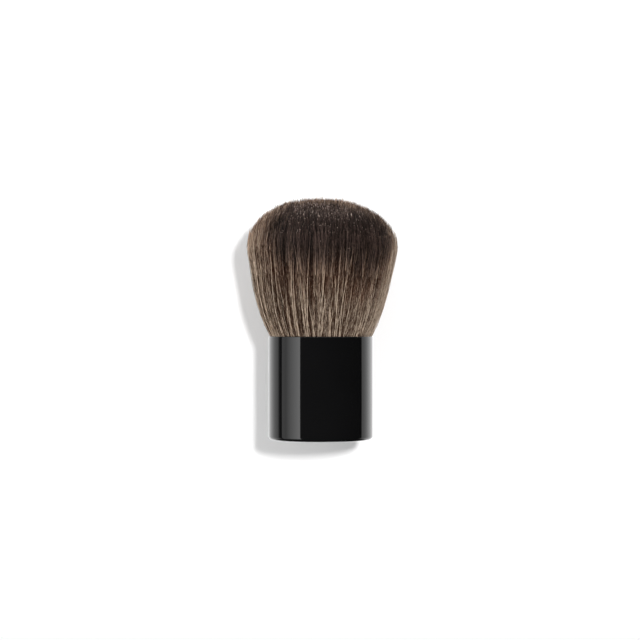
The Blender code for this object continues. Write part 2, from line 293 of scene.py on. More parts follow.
@dataclass
class SharedEffects:
    """Node groups that several finishes use. Each is built once."""

    rub_detail: float = 5.0
    rub_edges: Ramp = Ramp(0.35, 0.7)
    speck_edges: Ramp = Ramp(0.32, 0.12)
    grit_finer: float = 9.0
    grit_detail: float = 3.0
    grit_height: float = 0.4
    patches_across: float = 14.0
    patches_along: float = 36.0
    patch_detail: float = 2.0
    # Strength of the random mottle along each hair, whose light patches are painted glints.
    mottling: float = 1.8
    light_edges: Ramp = Ramp(0.22, 0.98)
    tip_edges: Ramp = Ramp(0.43, 0.86)
    draws_of_tone: float = 61.0
    tip_unevenness: float = 0.12
    warm_between: Ramp = Ramp(0.0, 0.8, 4.0, 1.2)
    # Painted back-light and glint: the cut ends of the palest hairs take the end colour.
    lit_end_tones: Ramp = Ramp(0.80, 0.97, 0.13, 1.0, False)
    lit_cut_end: Ramp = Ramp(0.971, 0.978)
    strand_roughness: Ramp = Ramp(0.0, 1.0, 0.42, 0.6, False)
    handling: Tree = field(init=False)
    strand: Tree = field(init=False)

    def __post_init__(self) -> None:
        """Builds the groups."""
        self.handling = self._handling()
        self.strand = self._strand()

    def _handling(self) -> Tree:
        """Fine rubbing and scattered specks of a handled surface.

        Returns:
            A group that gives a mask of rubbing and a height.
        """
        wires, given, out = new_group(
            "handling_marks",
            {"Rub Scale": 60.0, "Speck Scale": 900.0, "Speck Share": 0.06},
            ("Rub", "Height"),
        )
        where = wires.on_object()
        rub = wires.ramp(wires.noise(where, given["Rub Scale"], self.rub_detail), *self.rub_edges)
        inputs = {"Vector": where, "Scale": given["Speck Scale"]}
        cells = wires.place("ShaderNodeTexVoronoi", inputs, feature="F1").outputs
        chosen = wires.separate(cells["Color"])[0]
        rare = wires.math("LESS_THAN", chosen, given["Speck Share"])
        speck = wires.product(rare, wires.ramp(cells["Distance"], *self.speck_edges))
        finer = wires.product(given["Rub Scale"], self.grit_finer)
        grit = wires.noise(where, finer, self.grit_detail)
        wires.feed(out["Rub"], rub)
        wires.feed(out["Height"], wires.total(wires.product(grit, self.grit_height), speck))
        return wires.tree

    def _strand(self) -> Tree:
        """Colour of a hair by its own tone and by the place along it, with painted glints in its
        mottle and a painted back-light on the cut ends of the palest hairs.

        Returns:
            A group that gives a colour and a roughness.
        """
        numbers = {"Tone": MIDDLE, "Along": MIDDLE}
        colours = {label(item.name): WHITE for item in fields(StrandColours)}
        wires, given, out = new_group(
            "strand_colour", {**numbers, **colours}, ("Base Color", "Roughness")
        )
        tone, along = given["Tone"], given["Along"]
        patch = wires.combine(
            wires.product(tone, self.patches_across), wires.product(along, self.patches_along)
        )
        # Random light and dark patches along each hair: random tone, and painted glints where the
        # patches are light.
        glint_and_mottle = wires.less(wires.noise(patch, 1.0, self.patch_detail), MIDDLE)
        light = wires.ramp(wires.scale_add(glint_and_mottle, self.mottling, tone), *self.light_edges)
        shaft = wires.blend(light, given["Dark Shaft"], given["Light Shaft"])
        tip = wires.blend(light, given["Dark Tip"], given["Light Tip"])
        draw = wires.less(wires.math("FRACT", wires.product(tone, self.draws_of_tone)), MIDDLE)
        uneven = wires.scale_add(draw, self.tip_unevenness, along)
        into_tip = wires.ramp(uneven, *self.tip_edges)
        body = wires.blend(into_tip, shaft, tip)
        between = wires.product(into_tip, wires.less(1.0, into_tip))
        between = wires.product(between, wires.ramp(light, *self.warm_between))
        body = wires.blend(between, body, wires.vector("MULTIPLY", body, given["Warmth"]))
        # Cut ends of the palest hairs take the end colour: painted back-light and glint on those
        # ends.
        lit_end_share = wires.ramp(tone, *self.lit_end_tones)
        end = wires.product(wires.ramp(along, *self.lit_cut_end), lit_end_share)
        wires.feed(out["Base Color"], wires.blend(end, body, given["End"]))
        wires.feed(out["Roughness"], wires.ramp(along, *self.strand_roughness))
        return wires.tree

    def colour_strand(self, wires: Wiring, shader: Node, tone: Feed, along: Feed,
                      colours: StrandColours) -> None:
        """Gives a shader the colour and the roughness of hair.

        Args:
            wires: wiring of the material.
            shader: its shader.
            tone: the hair's own tone, 0 for dark.
            along: place along the hair, 0 at the root.
            colours: what the hair is coloured with.
        """
        inputs = {"Tone": tone, "Along": along, **inputs_of(colours)}
        strand = wires.place("ShaderNodeGroup", inputs, node_tree=self.strand).outputs
        for title in ("Base Color", "Roughness"):
            wires.feed(shader.inputs[title], strand[title])


@dataclass(frozen=True)
class SurfaceFinish:
    """Finish of a hard piece: one colour that varies a little, with rubbing and specks."""

    name: str
    colour: Colour
    rubbed_colour: Colour
    roughness: float
    rubbed_roughness: float
    bump: float
    bump_depth: float
    metallic: float = 0.0
    rub_scale: float = 60.0
    speck_scale: float = 900.0
    speck_share: float = 0.05
    grain_stretch: Triple = (1.0, 1.0, 1.0)
    grain_scale: float = 0.0
    grain_detail: float = 4.0

    def make(self, effects: SharedEffects) -> Material:
        """Builds the material.

        Args:
            effects: shared node groups.

        Returns:
            The material.
        """
        made, wires, shader = new_material(self.name)
        marks = wires.place(
            "ShaderNodeGroup",
            {
                "Rub Scale": self.rub_scale,
                "Speck Scale": self.speck_scale,
                "Speck Share": self.speck_share,
            },
            node_tree=effects.handling,
        ).outputs
        colour = wires.blend(marks["Rub"], self.colour, self.rubbed_colour)
        wires.feed(shader.inputs["Base Color"], colour)
        rough = wires.ramp(marks["Rub"], 0.0, 1.0, self.roughness, self.rubbed_roughness, False)
        wires.feed(shader.inputs["Roughness"], rough)
        shader.inputs["Metallic"].default_value = self.metallic
        height = marks["Height"]
        if self.grain_scale:
            drawn = wires.stretched(wires.on_object(), self.grain_stretch)
            height = wires.total(height, wires.noise(drawn, self.grain_scale, self.grain_detail))
        wires.bump(shader, self.bump, self.bump_depth, height)
        return made


@dataclass(frozen=True)
class HairFinish:
    """Finish of the hairs. It reads only the hair map: tone across, root to tip along."""

    name: str = "brown_hair_strands"
    colours: StrandColours = StrandColours(
        dark_shaft=(0.049, 0.020, 0.0085, 1.0),
        light_shaft=(0.613, 0.481, 0.366, 1.0),
        dark_tip=(0.006, 0.004, 0.003, 1.0),
        light_tip=(0.083, 0.054, 0.045, 1.0),
        # Pale end colour: painted back-light and glint on the cut ends of the palest hairs.
        end=(0.640, 0.500, 0.435, 1.0),
        warmth=(1.20, 0.89, 0.76, 1.0),
    )
    shine: float = 0.22

    def make(self, effects: SharedEffects) -> Material:
        """Builds the material.

        Args:
            effects: shared node groups.

        Returns:
            The material.
        """
        made, wires, shader = new_material(self.name)
        tone, along, _ = wires.separate(wires.first("ShaderNodeUVMap", uv_map=HAIR_MAP))
        effects.colour_strand(wires, shader, tone, along, self.colours)
        shader.inputs["Specular IOR Level"].default_value = self.shine
        return made


@dataclass(frozen=True)
class HairMassShadeFinish:
    """Dark finish of the mass of hair that shows in the gaps between the outer hairs: painted shade
    of the inside of the tuft.
    """

    name: str = "deep_hair_painted_shade"
    colours: StrandColours = StrandColours(
        # Dark browns: painted shade for the inside of the tuft.
        dark_shaft=(0.022, 0.014, 0.010, 1.0),
        light_shaft=(0.075, 0.052, 0.040, 1.0),
        dark_tip=(0.010, 0.008, 0.007, 1.0),
        light_tip=(0.022, 0.014, 0.010, 1.0),
        end=(0.010, 0.008, 0.007, 1.0),
    )
    strands_across: float = 2600.0
    strand_detail: float = 2.0
    drawn_out: Triple = (1.0, 1.0, 0.03)
    strand_edges: Ramp = Ramp(0.3, 0.7)
    root_to_tip: Ramp = Ramp(24.0 * MM, 76.0 * MM, smooth=False)
    bump: float = 0.6
    bump_depth: float = 0.1 * MM

    def make(self, effects: SharedEffects) -> Material:
        """Builds the material.

        Args:
            effects: shared node groups.

        Returns:
            The material.
        """
        made, wires, shader = new_material(self.name)
        where = wires.on_object()
        drawn = wires.stretched(where, self.drawn_out)
        strands = wires.noise(drawn, self.strands_across, self.strand_detail)
        tone = wires.ramp(strands, *self.strand_edges)
        along = wires.ramp(wires.separate(where)[2], *self.root_to_tip)
        effects.colour_strand(wires, shader, tone, along, self.colours)
        wires.bump(shader, self.bump, self.bump_depth, tone)
        return made


BLACK_LACQUER = SurfaceFinish(
    name="black_high_gloss_lacquer",
    colour=(0.0040, 0.0040, 0.0042, 1.0), rubbed_colour=(0.0047, 0.0047, 0.0049, 1.0),
    roughness=0.035, rubbed_roughness=0.055, bump=0.05, bump_depth=0.004 * MM,
    rub_scale=40.0, speck_scale=1400.0, speck_share=0.012,
)
HIDDEN_FINISHES: Dict[str, SurfaceFinish] = {
    "root_block": SurfaceFinish(
        name="amber_root_resin",
        colour=(0.42, 0.25, 0.10, 1.0), rubbed_colour=(0.12, 0.07, 0.04, 1.0),
        roughness=0.20, rubbed_roughness=0.38, bump=0.4, bump_depth=0.05 * MM,
        rub_scale=300.0, grain_stretch=(1.0, 1.0, 0.05), grain_scale=2500.0,
    ),
    "binding_thread": SurfaceFinish(
        name="waxed_binding_thread",
        colour=(0.80, 0.76, 0.66, 1.0), rubbed_colour=(0.68, 0.62, 0.50, 1.0),
        roughness=0.62, rubbed_roughness=0.78, bump=0.8, bump_depth=0.08 * MM,
        rub_scale=700.0, grain_stretch=(1.0, 1.0, 1.6), grain_scale=3000.0,
    ),
    "hair_cup": SurfaceFinish(
        name="bare_drawn_aluminium",
        colour=(0.78, 0.79, 0.80, 1.0), rubbed_colour=(0.70, 0.71, 0.72, 1.0),
        roughness=0.28, rubbed_roughness=0.42, bump=0.2, bump_depth=0.01 * MM,
        metallic=1.0, grain_stretch=(1.0, 1.0, 30.0), grain_scale=90.0,
    ),
    "core_insert": SurfaceFinish(
        name="matt_moulded_black",
        colour=(0.035, 0.035, 0.038, 1.0), rubbed_colour=(0.050, 0.050, 0.053, 1.0),
        roughness=0.48, rubbed_roughness=0.60, bump=0.25, bump_depth=0.02 * MM,
        speck_scale=2200.0, speck_share=0.5,
    ),
    "shell_adhesive": SurfaceFinish(
        name="set_clear_adhesive",
        colour=(0.72, 0.62, 0.38, 1.0), rubbed_colour=(0.62, 0.50, 0.27, 1.0),
        roughness=0.18, rubbed_roughness=0.30, bump=0.4, bump_depth=0.05 * MM,
        rub_scale=200.0,
    ),
    "weight_slug": SurfaceFinish(
        name="tumbled_plated_steel",
        colour=(0.62, 0.62, 0.58, 1.0), rubbed_colour=(0.50, 0.50, 0.46, 1.0),
        roughness=0.30, rubbed_roughness=0.50, bump=0.35, bump_depth=0.02 * MM,
        metallic=1.0, speck_share=0.12,
    ),
    "weight_pad": SurfaceFinish(
        name="closed_cell_foam",
        colour=(0.86, 0.86, 0.84, 1.0), rubbed_colour=(0.76, 0.76, 0.73, 1.0),
        roughness=0.85, rubbed_roughness=0.95, bump=0.6, bump_depth=0.1 * MM,
        speck_scale=1800.0, speck_share=0.6,
    ),
}


def linked(name: str, data: bpy.types.ID) -> Object:
    """Puts an object with its data into the scene.

    Args:
        name: name of the object.
        data: its mesh, camera or lamp.

    Returns:
        The object.
    """
    made = bpy.data.objects.new(name, data)
    bpy.context.scene.collection.objects.link(made)
    return made


def piece_from(data: Mesh, material: Material) -> Object:
    """Makes a mesh a piece of its name that rides on the brush's only body, and reports it.

    Args:
        data: the mesh, in place.
        material: its finish.

    Returns:
        The piece.
    """
    data.materials.clear()
    data.materials.append(material)
    piece = linked(data.name, data)
    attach(piece, BODY)
    LOG.info("%s: %d faces", piece.name, len(data.polygons))
    return piece


def arc(centre: Point, radius: float, start: float, end: float, steps: int) -> List[Point]:
    """Points of a rounding in the (radius, height) plane.

    Args:
        centre: middle of the rounding.
        radius: its radius.
        start: first angle.
        end: last angle.
        steps: how many pieces it is cut into.

    Returns:
        The points, both ends included.
    """
    points = []
    for step in range(steps + 1):
        angle = math.radians(start + (end - start) * step / steps)
        across = centre[0] + radius * math.cos(angle)
        up = centre[1] + radius * math.sin(angle)
        points.append((across, up))
    return points


def turned(name: str, outline: Sequence[Point], sides: int) -> Mesh:
    """Turns an outline that starts and ends on the axis into a closed, smooth mesh.

    Args:
        name: name of the mesh.
        outline: points (radius, height), from the foot up the outer side.
        sides: how many sides the turned form has.

    Returns:
        The mesh.
    """
    made = bmesh.new()
    corners = [made.verts.new((across, 0.0, up)) for across, up in outline]
    edges = [made.edges.new(pair) for pair in zip(corners, corners[1:])]
    bmesh.ops.spin(
        made, geom=corners + edges, axis=(0, 0, 1), cent=(0, 0, 0), angle=math.tau,
        steps=sides, use_merge=True, use_duplicate=False,
    )
    bmesh.ops.remove_doubles(made, verts=made.verts, dist=WELD)
    bmesh.ops.recalc_face_normals(made, faces=made.faces)
    data = bpy.data.meshes.new(name)
    made.to_mesh(data)
    made.free()
    data.shade_smooth()
    data.set_sharp_from_angle(angle=math.radians(SHARP_DEGREES))
    return data


@dataclass
class Handle:
    """Deep-drawn shell of the handle, with its rolled lip and rounded foot."""

    wall: float = 0.5 * MM
    floor: float = 0.8 * MM
    foot_rounding: float = 1.2 * MM
    sides: int = 256
    arc_steps: int = 12
    radius: float = field(init=False)
    height: float = field(init=False)

    def __post_init__(self) -> None:
        """Takes the outer size from the frame."""
        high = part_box("handle_shell")[1]
        self.radius, self.height = high.x, high.z

    def outline(self) -> List[Point]:
        """Half section of the shell.

        Returns:
            Points from the middle of the foot, up the outside, over the lip and down inside.
        """
        lip = self.wall / 2
        bore = self.radius - self.wall
        inner = self.foot_rounding - self.wall
        foot = self.radius - self.foot_rounding
        points = [(0.0, 0.0)]
        points += arc((foot, self.foot_rounding), self.foot_rounding, -90, 0, self.arc_steps)
        points += arc((self.radius - lip, self.height - lip), lip, 0, 180, self.arc_steps)
        points += arc((bore - inner, self.floor + inner), inner, 0, -90, self.arc_steps)
        points += [(0.0, self.floor)]
        return points

    def build(self, effects: SharedEffects) -> None:
        """Makes the shell in place of its CAD node.

        Args:
            effects: shared node groups.
        """
        data = turned("lacquered_shell", self.outline(), self.sides)
        shell = piece_from(data, BLACK_LACQUER.make(effects))
        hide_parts("handle_shell")


@dataclass(frozen=True)
class TuftShape:
    """Outline of the tuft, as pairs of a height share and a radius share, and the dome over it."""

    root_height: float
    crown_height: float
    widest_radius: float
    shoulder_height: float = 66.9 * MM
    crown_rise: float = 1.4 * MM
    flatness: float = 2.7
    shoulder_power: float = 0.55
    rim_share: float = 0.9999
    tilt: float = -0.024
    outline_shares: Tuple[Point, ...] = (
        (0.000, 0.476), (0.160, 0.660), (0.260, 0.764), (0.358, 0.831),
        (0.454, 0.884), (0.550, 0.920), (0.650, 0.963), (0.705, 0.981),
        (0.755, 0.968), (0.818, 0.944), (0.870, 0.900), (1.000, 0.795),
    )

    def trace(self, mapping: bpy.types.CurveMapping) -> None:
        """Sets a curve mapping to the outline.

        Args:
            mapping: mapping to set.
        """
        points = mapping.curves[0].points
        points[0].location = self.outline_shares[0]
        points[-1].location = self.outline_shares[-1]
        for share in self.outline_shares[1:-1]:
            points.new(*share)
        mapping.update()


@dataclass(frozen=True)
class HairHabit:
    """How hairs gather, wander and taper, and how their tones differ.

    A guard hair is a lighter, coarser and looser hair among the plain ones. Locks, clumps and wisps
    are ever smaller cells of the root, and the hairs of a cell are alike and keep together. Hairs
    near the edge of a clump are darker, which is painted shade in the gaps between clumps. Ageing
    is how far a place on a hair has come from its light root to its dark tip. The sides and the
    crown of the tuft are left lighter, in tone and in ageing, which is painted side light and top
    light. Fuzz is how far loose ends reach past the outline.
    """

    sides: int = 3
    locks_across: float = 8.0
    clumps_across: float = 30.0
    wisps_across: float = 76.0
    pattern_shift: Triple = (8.2, 5.6, 0.0)
    own_tone: float = 0.08
    lock_tone: float = 0.08
    clump_tone: float = 0.17
    wisp_tone: float = 0.65
    # Painted shade: hairs near the edge of their clump are darker.
    painted_gap_shade: Ramp = Ramp(0.30, 0.60, 0.0, 0.15)
    # Painted side light: hairs on the left and right sides of the tuft are lighter.
    left_painted_light: Ramp = Ramp(0.66, 0.90, 1.0, 2.20)
    right_painted_light: Ramp = Ramp(-0.76, -1.0, 1.0, 1.80)
    plain_tone_to: float = 0.80
    guard_tone_from: float = 0.82
    even_cut: float = 1.0
    clump_cut: float = 0.5 * MM
    wisp_cut: float = 0.4 * MM
    guard_lean: float = 0.24
    clump_lean: float = 0.20
    wisp_lean: float = 0.11
    gathered_root: Ramp = Ramp(0.0, 0.14)
    gathered_tip: Point = (0.75, 1.0)
    gathering: Ramp = Ramp(0.0, 1.0, 0.58, 0.92, False)
    guard_freedom: float = 0.7
    to_clump: float = 0.45
    to_wisp: float = 0.85
    drifts: Tuple[Triple, ...] = ((6.0, 2.0, 0.05), (30.0, 4.0, 0.06))
    stray: float = 0.06
    stray_power: float = 4.0
    stray_bend: float = 2.0
    fuzz: float = 0.050
    fuzz_power: float = 3.0
    fuzz_inside: float = 1 / 3
    least_pale: float = 0.80
    clump_pale: float = 0.65
    lock_pale: float = 0.20
    # Painted side light and top light: tips at the sides and round the crown stay lighter.
    left_painted_tip_light: Ramp = Ramp(0.42, 0.98, 1.0, 0.53)
    right_painted_tip_light: Ramp = Ramp(-0.82, -1.0, 1.0, 0.46)
    crown_at: Triple = (0.16, 0.14, 0.0)
    crown_across: Triple = (0.75, 1.0, 0.0)
    crown_mingling: float = 0.40
    crown_painted_tip_light: Ramp = Ramp(1.00, 0.68, 1.0, 0.63)
    most_dulled: Ramp = Ramp(0.85, 0.96, 0.985, 0.976)
    least_dulled: Ramp = Ramp(0.85, 0.96, 1.0, 0.993)
    lean: Ramp = Ramp(0.45, 0.85, 0.0, 0.42 * MM)
    shaft_taper: Ramp = Ramp(0.0, 1.0, 1.0, 0.75, False)
    point_taper: Ramp = Ramp(0.90, 1.0, 1.0, 0.40, False)
    guard_taper: float = 0.80
    finest_share: float = 0.85
    coarse_spread: float = 1.1
    coarse_power: float = 4.0
    tone_on_map: Point = (0.94, 0.03)
    ageing_on_map: Point = (0.98, 0.01)
    side_on_map: float = 0.004


class Draw(Enum):
    """Random draws of a hair. The number keeps one draw apart from another."""

    SHARE = 1
    ANGLE = 2
    TONE = 3
    CUT = 4
    STRAY_X = 6
    STRAY_Y = 7
    STRAY = 8
    COARSENESS = 9
    FUZZ = 10
    GUARD = 11
    GUARD_TONE = 12
    DULLING = 13


@dataclass(frozen=True)
class Growth:
    """Inputs of the tree that grows one piece of hairs. Shares are of the root's radius."""

    hairs: int
    points: int
    seed: int
    least_share: float
    greatest_share: float
    shown_length: float
    shortest: float
    cut_power: float
    thickness: float
    lightness: float
    left_at_tip: float
    guard_share: float = 0.0
    guard_outward: float = 0.0
    guard_extra: float = 0.0
    first_angle: float = 0.0
    last_angle: float = math.tau


class HairTree(Wiring):
    """Geometry nodes that grow one piece of hairs, and the map that their finish reads."""

    SOCKETS: Dict[type, str] = {int: "NodeSocketInt", float: "NodeSocketFloat"}

    def __init__(self, shape: TuftShape, habit: HairHabit) -> None:
        """Builds the tree.

        Args:
            shape: outline of the tuft.
            habit: how hairs gather and wander.
        """
        super().__init__(bpy.data.node_groups.new("grow_hairs", "GeometryNodeTree"))
        self.shape = shape
        self.habit = habit
        face = self.tree.interface
        face.new_socket("Geometry", in_out="OUTPUT", socket_type="NodeSocketGeometry")
        for item in fields(Growth):
            kind = self.SOCKETS[item.type]
            face.new_socket(label(item.name), in_out="INPUT", socket_type=kind)
        face.new_socket("Material", in_out="INPUT", socket_type="NodeSocketMaterial")
        self.given = self.tree.nodes.new("NodeGroupInput").outputs

        copies = self._copies()
        self.who = copies["Duplicate Index"]
        self.guard = self.math("LESS_THAN", self._chance(Draw.GUARD), self.given["Guard Share"])
        self.root = self._root()
        self.left = self.product(self.separate(self.root)[0], -1.0)
        self.lock = self._cells(habit.locks_across)
        self.clump = self._cells(habit.clumps_across)
        self.wisp = self._cells(habit.wisps_across)
        self.own = self._chance(Draw.TONE)
        sideways, forward = (self._chance(draw, -1.0) for draw in (Draw.STRAY_X, Draw.STRAY_Y))
        self.stray = self.combine(sideways, forward)
        self._grow(copies["Geometry"])

    def _copies(self) -> Any:
        """Copies a straight line from 0 to 1 for each hair.

        Returns:
            The copies, and the number of each.
        """
        line = self.first("GeometryNodeCurvePrimitiveLine", {0: (0, 0, 0), 1: (0, 0, 1)})
        inputs = {"Curve": line, "Count": self.given["Points"]}
        line = self.first("GeometryNodeResampleCurve", inputs)
        inputs = {"Geometry": line, "Amount": self.given["Hairs"]}
        return self.place("GeometryNodeDuplicateElements", inputs, domain="SPLINE").outputs

    def _chance(self, draw: Draw, low: Feed = 0.0, high: Feed = 1.0) -> Socket:
        """A random number of each hair.

        Args:
            draw: which draw it is.
            low: least value.
            high: greatest value.

        Returns:
            The number.
        """
        seed = self.total(self.given["Seed"], float(draw.value))
        inputs = {2: low, 3: high, "ID": self.who, "Seed": seed}
        return self.place("FunctionNodeRandomValue", inputs, data_type="FLOAT").outputs[1]

    def _root(self) -> Socket:
        """Place of the hair's root, in radii of the tuft.

        Returns:
            The place.
        """
        given = self.given
        inner = self.product(given["Least Share"], given["Least Share"])
        outer = self.product(given["Greatest Share"], given["Greatest Share"])
        share = self.math("SQRT", self._chance(Draw.SHARE, inner, outer))
        room = self.less(given["Greatest Share"], share)
        outward = self.product(self.guard, given["Guard Outward"])
        share = self.scale_add(room, outward, share)
        angle = self._chance(Draw.ANGLE, given["First Angle"], given["Last Angle"])
        return self.combine(
            self.product(share, self.math("COSINE", angle)),
            self.product(share, self.math("SINE", angle)),
        )

    def _cells(self, across: float) -> Any:
        """Divides the root into cells, so that the hairs of a cell keep together.

        Args:
            across: how many cells lie side by side over the root's radius.

        Returns:
            Outputs of the cell pattern.
        """
        moved = self.vector("ADD", self.root, self.habit.pattern_shift)
        inputs = {"Vector": moved, "Scale": across, "Randomness": 1.0}
        settings = {"voronoi_dimensions": "2D", "feature": "F1"}
        return self.place("ShaderNodeTexVoronoi", inputs, **settings).outputs

    def _channel(self, cells: Any, number: int) -> Socket:
        """Gives one of the three random numbers of a cell."""
        return self.separate(cells["Color"])[number]

    def _drawn_to(self, place: Feed, cells: Any, share: Feed) -> Socket:
        """Draws a hair towards the middle of its cell.

        Args:
            place: where the hair is.
            cells: outputs of the cell pattern.
            share: how far it is drawn, 1 for all the way.

        Returns:
            Its new place.
        """
        middle = self.vector("SUBTRACT", cells["Position"], self.habit.pattern_shift)
        pull = self.vector("SUBTRACT", middle, self.root)
        return self.vector("ADD", place, self.scaled(pull, share))

    def _shifted(self, place: Feed, colour: Feed, size: Feed) -> Socket:
        """Moves a hair aside, the way that the channels of a colour give."""
        way = self.vector("SUBTRACT", colour, (MIDDLE, MIDDLE, MIDDLE))
        return self.vector("ADD", place, self.scaled(way, size))

    def _outline(self, height: Feed) -> Socket:
        """Radius of the tuft at a height.

        Args:
            height: height above the base.

        Returns:
            The radius.
        """
        shape = self.shape
        share = self.ramp(height, shape.root_height, shape.crown_height, smooth=False)
        node = self.place("ShaderNodeFloatCurve", {"Value": share})
        shape.trace(node.mapping)
        return self.product(node.outputs[0], shape.widest_radius)

    def _tip_height(self, end: Feed, share: Feed) -> Socket:
        """Height of the slightly tilted dome, less what each hair is cut short by.

        Args:
            end: place of the hair's tip, in radii of the tuft.
            share: how far that is from the axis.

        Returns:
            The height.
        """
        given, habit, shape = self.given, self.habit, self.shape
        drop = self.math("POWER", self.math("MINIMUM", share, shape.rim_share), shape.flatness)
        rise = self.math("POWER", self.less(1.0, drop), shape.shoulder_power)
        span = shape.crown_height + shape.crown_rise - shape.shoulder_height
        dome = self.scale_add(rise, span, shape.shoulder_height)
        power = given["Cut Power"]
        above_even = self.math("MAXIMUM", self.less(power, habit.even_cut), 0.0)
        power = self.less(power, self.product(self.guard, above_even))
        cut = self.product(self.math("POWER", self._chance(Draw.CUT), power), given["Shortest"])
        cut = self.scale_add(self._channel(self.clump, 1), habit.clump_cut, cut)
        cut = self.scale_add(self._channel(self.wisp, 1), habit.wisp_cut, cut)
        aslant = self.product(self.separate(end)[0], shape.tilt * shape.widest_radius)
        return self.total(self.less(dome, cut), aslant)

    def _tone(self) -> Socket:
        """Tone of the hair. A guard hair is lighter than any plain one. A hair near its clump's
        edge is darker, which is painted shade in the gaps, and a hair at the left or right side is
        lighter, which is painted side light.

        Returns:
            The tone, 0 for dark and 1 for light.
        """
        habit = self.habit
        tone = self.product(self.own, habit.own_tone)
        shares = (habit.lock_tone, habit.clump_tone, habit.wisp_tone)
        for cells, share in zip((self.lock, self.clump, self.wisp), shares):
            tone = self.scale_add(self._channel(cells, 0), share, tone)
        # Hairs far from their clump's middle are darkened: painted shade in the gaps between
        # clumps.
        tone = self.less(tone, self.ramp(self.clump["Distance"], *habit.painted_gap_shade))
        tone = self.math("MAXIMUM", tone, 0.0)
        # Hairs on the left and right sides of the tuft are lightened: painted side light.
        light = self.product(
            self.ramp(self.left, *habit.left_painted_light), self.ramp(self.left, *habit.right_painted_light)
        )
        tone = self.product(self.given["Lightness"], light, tone)
        tone = self.math("MINIMUM", tone, habit.plain_tone_to)
        guard_tone = self._chance(Draw.GUARD_TONE, habit.guard_tone_from)
        return self.math("MAXIMUM", tone, self.product(self.guard, guard_tone))

    def _ageing(self, from_root: Feed, end: Feed, end_share: Feed) -> Socket:
        """How far each place on the hair has come from its light root to its dark tip. At the left
        and right sides and round the crown it is held back, so the tips there stay lighter: painted
        side light and top light.

        Args:
            from_root: share of the hair's length below the place.
            end: place of the hair's tip, in radii of the tuft.
            end_share: how far that is from the axis.

        Returns:
            The ageing, 0 at the root.
        """
        habit = self.habit
        pale = self.scale_add(self._channel(self.clump, 2), habit.clump_pale, habit.least_pale)
        pale = self.scale_add(self._channel(self.lock, 2), habit.lock_pale, pale)
        # Tips at the left and right sides and round the crown stay lighter: painted side light and
        # top light.
        sides = self.product(
            self.ramp(self.left, *habit.left_painted_tip_light), self.ramp(self.left, *habit.right_painted_tip_light)
        )
        beside = self.vector("SUBTRACT", end, habit.crown_at)
        from_crown = self.length(self.vector("MULTIPLY", beside, habit.crown_across))
        from_crown = self.scale_add(self.own, habit.crown_mingling, from_crown)
        crown = self.ramp(from_crown, *habit.crown_painted_tip_light)
        most_dulled = self.ramp(end_share, *habit.most_dulled)
        least_dulled = self.ramp(end_share, *habit.least_dulled)
        dulled = self._chance(Draw.DULLING, most_dulled, least_dulled)
        return self.product(sides, self.math("POWER", from_root, pale), crown, dulled)

    def _wandered(self, from_root: Feed, lean_out: Feed) -> Socket:
        """Place of each point of the hair, in radii of the tuft at its height.

        Args:
            from_root: share of the hair's length below the point.
            lean_out: how far the hair's tip leans away from its root.

        Returns:
            The place.
        """
        habit = self.habit
        gather = self.product(
            self.ramp(from_root, *habit.gathered_root),
            self.ramp(from_root, *habit.gathered_tip, 1.0, self.given["Left At Tip"]),
            self.ramp(self._channel(self.wisp, 2), *habit.gathering),
            self.scale_add(self.guard, -habit.guard_freedom, 1.0),
        )
        place = self._drawn_to(self.root, self.clump, self.product(gather, habit.to_clump))
        place = self._drawn_to(place, self.wisp, self.product(gather, habit.to_wisp))
        place = self.vector("ADD", place, self.scaled(lean_out, from_root))
        for across, upward, size in habit.drifts:
            beside = self.scaled(self.clump["Position"], across)
            along = self.combine(0.0, 0.0, self.product(from_root, upward))
            inputs = {"Vector": self.vector("ADD", beside, along), "Scale": 1.0, "Detail": 1.0}
            drift = self.place("ShaderNodeTexNoise", inputs, noise_dimensions="3D")
            place = self._shifted(place, drift.outputs["Color"], self.product(from_root, size))
        wide = self.product(
            self.math("POWER", self._chance(Draw.STRAY), habit.stray_power),
            self.math("POWER", from_root, habit.stray_bend),
            habit.stray,
        )
        place = self.vector("ADD", place, self.scaled(self.stray, wide))
        place = self.vector("MULTIPLY", place, LEVEL_ONLY)
        fuzz = self.math("POWER", self._chance(Draw.FUZZ), habit.fuzz_power)
        limit = self.scale_add(fuzz, habit.fuzz, 1.0 - habit.fuzz * habit.fuzz_inside)
        held = self.math("DIVIDE", limit, self.length(place))
        return self.scaled(place, self.math("MINIMUM", 1.0, held))

    def _thickness(self, from_root: Feed) -> Socket:
        """Radius of the hair, which tapers to its tip.

        Args:
            from_root: share of the hair's length below the place.

        Returns:
            The radius.
        """
        habit = self.habit
        taper = self.product(
            self.ramp(from_root, *habit.shaft_taper), self.ramp(from_root, *habit.point_taper)
        )
        taper = self.math("MAXIMUM", taper, self.product(self.guard, habit.guard_taper))
        coarse = self.math("POWER", self._chance(Draw.COARSENESS), habit.coarse_power)
        coarse = self.scale_add(coarse, habit.coarse_spread, habit.finest_share)
        extra = self.scale_add(self.guard, self.given["Guard Extra"], 1.0)
        return self.product(coarse, self.given["Thickness"], taper, extra)

    def _kept(self, geometry: Feed, **values: Feed) -> List[Socket]:
        """Keeps values on the points of a geometry.

        Args:
            geometry: what they are kept on.
            values: the values by name.

        Returns:
            The geometry and the kept values.
        """
        node = self.place("GeometryNodeCaptureAttribute", domain="POINT")
        for name in values:
            node.capture_items.new("FLOAT", name)
        for number, value in enumerate((geometry, *values.values())):
            self.feed(node.inputs[number], value)
        return list(node.outputs)[: len(values) + 1]

